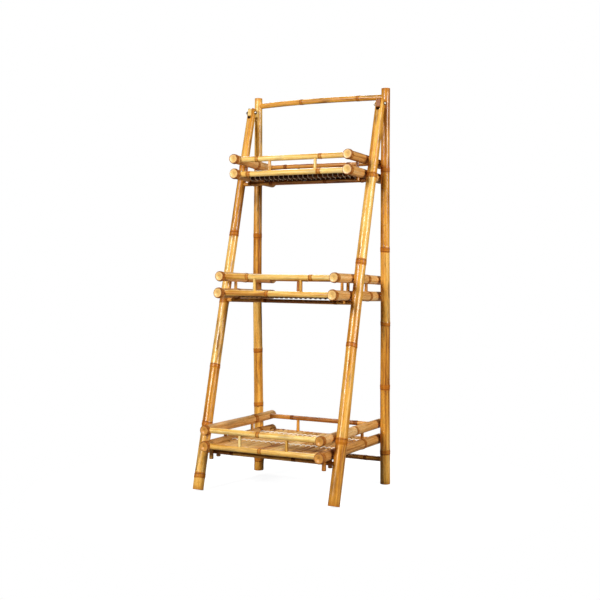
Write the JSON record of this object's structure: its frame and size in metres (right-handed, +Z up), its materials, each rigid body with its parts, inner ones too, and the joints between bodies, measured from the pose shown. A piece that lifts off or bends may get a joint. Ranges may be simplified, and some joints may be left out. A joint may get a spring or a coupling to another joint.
{
  "type": "folding ladder shelf",
  "caption": "Folding ladder shelf of bamboo poles: a leaning front frame hinged to upright rear posts, with galleried trays of laced sticks that tilt up as it closes.",
  "frame": {"origin": "on the floor, under the middle of the shelf's bounding box", "axes": "+Z up along the rear posts; the open front faces -Y; +X to the right seen from the front"},
  "size_m": [0.547, 0.4691, 1.35],
  "materials": {
    "bamboo_honey": "gloss lacquer over honey-yellow bamboo",
    "bamboo_pale": "gloss lacquer over pale yellow bamboo",
    "bamboo_sand": "satin lacquer over sand-coloured bamboo",
    "bamboo_brown": "satin lacquer over brown bamboo",
    "slat_bamboo": "satin half-round split bamboo",
    "tongue_wood": "sawn light wood, lacquered",
    "cord": "waxed off-white twine",
    "steel": "dull zinc-plated steel"
  },
  "bodies": {
    "rear_frame": {"rear_post_left": "bamboo_honey", "rear_post_right": "bamboo_honey", "top_rail": "bamboo_honey", "rear_stretcher": "bamboo_brown", "hinge_tongue_left": "tongue_wood", "hinge_tongue_right": "tongue_wood", "hinge_bolts": "steel", "hinge_washers": "steel", "hinge_nuts": "steel", "tray_pivot_pins": "bamboo_brown"},
    "front_frame": {"front_leg_left": "bamboo_honey", "front_leg_right": "bamboo_honey", "front_rung_top": "bamboo_brown", "front_rung_middle": "bamboo_brown", "front_rung_bottom": "bamboo_brown"},
    "top_tray": {"top_tray_lower_rail_left": "bamboo_sand", "top_tray_lower_rail_right": "bamboo_sand", "top_tray_upper_rail_left": "bamboo_sand", "top_tray_upper_rail_right": "bamboo_sand", "top_tray_front_rail_lower": "bamboo_pale", "top_tray_front_rail_upper": "bamboo_pale", "top_tray_back_rail_lower": "bamboo_brown", "top_tray_back_rail_upper": "bamboo_brown", "top_tray_spindles": "bamboo_brown", "top_tray_slats": "slat_bamboo", "top_tray_cross_sticks": "bamboo_brown", "top_tray_lacing": "cord", "top_tray_pegs": "bamboo_brown"},
    "middle_tray": {"middle_tray_lower_rail_left": "bamboo_sand", "middle_tray_lower_rail_right": "bamboo_sand", "middle_tray_upper_rail_left": "bamboo_sand", "middle_tray_upper_rail_right": "bamboo_sand", "middle_tray_front_rail_lower": "bamboo_pale", "middle_tray_front_rail_upper": "bamboo_pale", "middle_tray_back_rail_lower": "bamboo_brown", "middle_tray_back_rail_upper": "bamboo_brown", "middle_tray_spindles": "bamboo_brown", "middle_tray_slats": "slat_bamboo", "middle_tray_cross_sticks": "bamboo_brown", "middle_tray_lacing": "cord", "middle_tray_pegs": "bamboo_brown"},
    "bottom_tray": {"bottom_tray_lower_rail_left": "bamboo_sand", "bottom_tray_lower_rail_right": "bamboo_sand", "bottom_tray_upper_rail_left": "bamboo_sand", "bottom_tray_upper_rail_right": "bamboo_sand", "bottom_tray_front_rail_lower": "bamboo_pale", "bottom_tray_front_rail_upper": "bamboo_pale", "bottom_tray_back_rail_lower": "bamboo_brown", "bottom_tray_back_rail_upper": "bamboo_brown", "bottom_tray_spindles": "bamboo_brown", "bottom_tray_slats": "slat_bamboo", "bottom_tray_cross_sticks": "bamboo_brown", "bottom_tray_lacing": "cord", "bottom_tray_pegs": "bamboo_brown"}
  },
  "joints": [
    {"name": "front_frame_fold", "type": "hinge", "parent": "rear_frame", "child": "front_frame", "pos_m": [0, 0.1465, 1.292], "axis": [1, 0, 0], "range_deg": [0, 15.2]},
    {"name": "top_tray_tilt", "type": "hinge", "parent": "rear_frame", "child": "top_tray", "pos_m": [0, 0.194, 1.0472], "axis": [-1, 0, 0], "range_deg": [0, 86.5]},
    {"name": "middle_tray_tilt", "type": "hinge", "parent": "rear_frame", "child": "middle_tray", "pos_m": [0, 0.194, 0.6412], "axis": [-1, 0, 0], "range_deg": [0, 87.5]},
    {"name": "bottom_tray_tilt", "type": "hinge", "parent": "rear_frame", "child": "bottom_tray", "pos_m": [0, 0.194, 0.1485], "axis": [-1, 0, 0], "range_deg": [0, 89.5]}
  ],
  "couplings": [
    {"joint": "top_tray_tilt", "follows": "front_frame_fold", "ratio": 5.65},
    {"joint": "middle_tray_tilt", "follows": "front_frame_fold", "ratio": 5.72},
    {"joint": "bottom_tray_tilt", "follows": "front_frame_fold", "ratio": 5.85}
  ]
}
